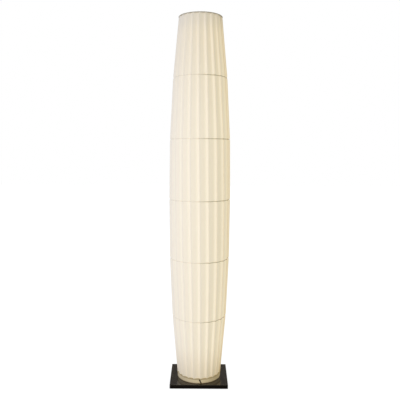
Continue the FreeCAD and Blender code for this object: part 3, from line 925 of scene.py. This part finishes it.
def looked_at(tree):
    """1 where a surface is seen, straight, in gloss or through glass, and 0 where it gives light."""
    path = add_node(tree, "LightPath").outputs
    seen = add_node(tree, "Math", {
        0: path["Is Camera Ray"], 1: path["Is Glossy Ray"]}, operation="MAXIMUM").outputs[0]
    return add_node(tree, "Math", {
        0: seen, 1: path["Is Transmission Ray"]}, operation="MAXIMUM").outputs[0]


def pale_floor():
    """Seamless white paper: white to the eye, yet it takes a soft shadow where things stand on it."""
    material, tree = begin_material("seamless_white_paper")
    seen = looked_at(tree)
    fibre = add_node(tree, "Mix", data_type="RGBA", inputs={
        0: seen, 6: opaque(linear("#F4F4F2")), 7: opaque([FLOOR_SEEN] * 3)}).outputs[2]
    paper = add_node(tree, "BsdfDiffuse", {"Color": fibre}).outputs["BSDF"]
    glow = add_node(tree, "Math", {0: seen, 1: FLOOR_GLOW}, operation="MULTIPLY").outputs[0]
    white = add_node(tree, "Emission", {
        "Color": (1.0, 1.0, 1.0, 1.0), "Strength": glow}).outputs["Emission"]
    both = add_node(tree, "AddShader", {0: paper, 1: white}).outputs["Shader"]
    add_node(tree, "OutputMaterial", {"Surface": both})
    return material


def white_room(scene, stage):
    """A world that is white to the eye and in gloss, with soft light that is warmer on the right."""
    world = bpy.data.worlds.new("white_room")
    scene.world = world
    world.use_nodes = True
    tree = world.node_tree
    tree.nodes.clear()
    place = add_node(tree, "TexCoord").outputs["Object"]
    toward = add_node(tree, "SeparateXYZ", {"Vector": place}).outputs["X"]
    side = add_node(tree, "MapRange", {
        "Value": toward, "From Min": -1.0, "From Max": 1.0}).outputs["Result"]
    room = add_node(tree, "Mix", data_type="RGBA", inputs={
        0: side, 6: opaque(stage.room_left), 7: opaque(stage.room_right)}).outputs[2]
    light = add_node(tree, "Mix", data_type="RGBA", inputs={
        0: looked_at(tree), 6: room, 7: (1.0, 1.0, 1.0, 1.0)}).outputs[2]
    back = add_node(tree, "Background", {"Color": light, "Strength": 1.0})
    add_node(tree, "OutputWorld", {"Surface": back.outputs["Background"]})


def soft_box(scene, name, place, target, size, power):
    """A square white soft box that looks at a point."""
    data = bpy.data.lights.new(name, "AREA")
    data.size = size
    data.energy = power
    box = bpy.data.objects.new(name, data)
    box.location = place
    box.rotation_euler = (Vector(target) - Vector(place)).to_track_quat("-Z", "Y").to_euler()
    scene.collection.objects.link(box)


def flat_sheet(scene, name, half, place, material):
    """A flat square of the stage."""
    bm = bmesh.new()
    bmesh.ops.create_grid(bm, x_segments=1, y_segments=1, size=half, matrix=place)
    mesh = bpy.data.meshes.new(name)
    bm.to_mesh(mesh)
    bm.free()
    mesh.materials.append(material)
    sheet = bpy.data.objects.new(name, mesh)
    scene.collection.objects.link(sheet)
    return sheet


def dark_card(scene, name, colour, half, place):
    """A card out of the picture that only gloss shows, so black lacquer stays black among white."""
    material, tree = begin_material(name)
    end_material(tree, Base_Color=opaque(linear(colour)), Roughness=0.9)
    card = flat_sheet(scene, name, half, place, material)
    card.visible_camera = False
    card.visible_diffuse = False
    card.visible_transmission = False
    card.visible_shadow = False


class LAMP_OT_stage(bpy.types.Operator):
    """Set the floor, the cards, the room, the light and the camera"""

    bl_idname = "lamp.stage"
    bl_label = "Stage"

    def execute(self, context):
        scene = context.scene
        stage = scene.lamp_stage
        under_base = Matrix.Translation((0.0, 0.0, -FLOOR_DROP))
        flat_sheet(scene, "paper_floor", FLOOR_HALF, under_base, pale_floor())
        behind = Matrix.Translation(BACK_CARD_PLACE) @ Matrix.Rotation(math.pi / 2, 4, "X")
        dark_card(scene, "grey_card_behind", "#979189", BACK_CARD_HALF, behind)
        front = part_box("base_plate")[0].y - FRONT_CARD_GAP - FRONT_CARD_HALF
        before = Matrix.Translation((0.0, front, FRONT_CARD_GAP))
        dark_card(scene, "black_card_in_front", "#1C1B1A", FRONT_CARD_HALF, before)
        white_room(scene, stage)
        soft_box(scene, "key_light", KEY_PLACE, KEY_TARGET, KEY_SIZE, stage.key_power)
        data = bpy.data.cameras.new("camera")
        data.lens = stage.lens
        data.sensor_width = SENSOR_WIDTH
        data.shift_x = LAMP_OFF_MIDDLE
        camera = bpy.data.objects.new("camera", data)
        tilt = Matrix.Rotation(math.pi / 2 - stage.tilt, 4, "X") @ Matrix.Rotation(stage.roll, 4, "Z")
        camera.matrix_world = Matrix.Translation((0.0, -stage.distance, stage.height)) @ tilt
        scene.collection.objects.link(camera)
        scene.camera = camera
        scene.view_settings.view_transform = "Standard"
        return {"FINISHED"}


PIECES = (LAMP_OT_rolled_edges, LAMP_OT_pleated_cloth, LAMP_OT_wire_frame, LAMP_OT_base, LAMP_OT_mast,
          LAMP_OT_lenses, LAMP_OT_fittings, LAMP_OT_stage)


class LAMP_PT_panel(bpy.types.Panel):
    """The lamp's pieces, in the order they are made"""

    bl_idname = "LAMP_PT_panel"
    bl_label = "Column lamp"
    bl_space_type = "VIEW_3D"
    bl_region_type = "UI"
    bl_category = "Lamp"

    def draw(self, context):
        for piece in PIECES:
            self.layout.operator(piece.bl_idname)


SETTINGS = {
    "lamp_cloth": LampClothSettings,
    "lamp_stand": LampStandSettings,
    "lamp_stage": LampStageSettings,
}


def register():
    for settings in SETTINGS.values():
        bpy.utils.register_class(settings)
    for name, settings in SETTINGS.items():
        setattr(bpy.types.Scene, name, PointerProperty(type=settings))
    for piece in PIECES:
        bpy.utils.register_class(piece)
    bpy.utils.register_class(LAMP_PT_panel)


def unregister():
    bpy.utils.unregister_class(LAMP_PT_panel)
    for piece in reversed(PIECES):
        bpy.utils.unregister_class(piece)
    for name in SETTINGS:
        delattr(bpy.types.Scene, name)
    for settings in SETTINGS.values():
        bpy.utils.unregister_class(settings)


def main():
    register()
    bpy.ops.lamp.rolled_edges()
    bpy.ops.lamp.pleated_cloth()
    bpy.ops.lamp.wire_frame()
    bpy.ops.lamp.base()
    bpy.ops.lamp.mast()
    bpy.ops.lamp.lenses()
    bpy.ops.lamp.fittings()
    bpy.ops.lamp.stage()


if __name__ == "__main__":
    main()
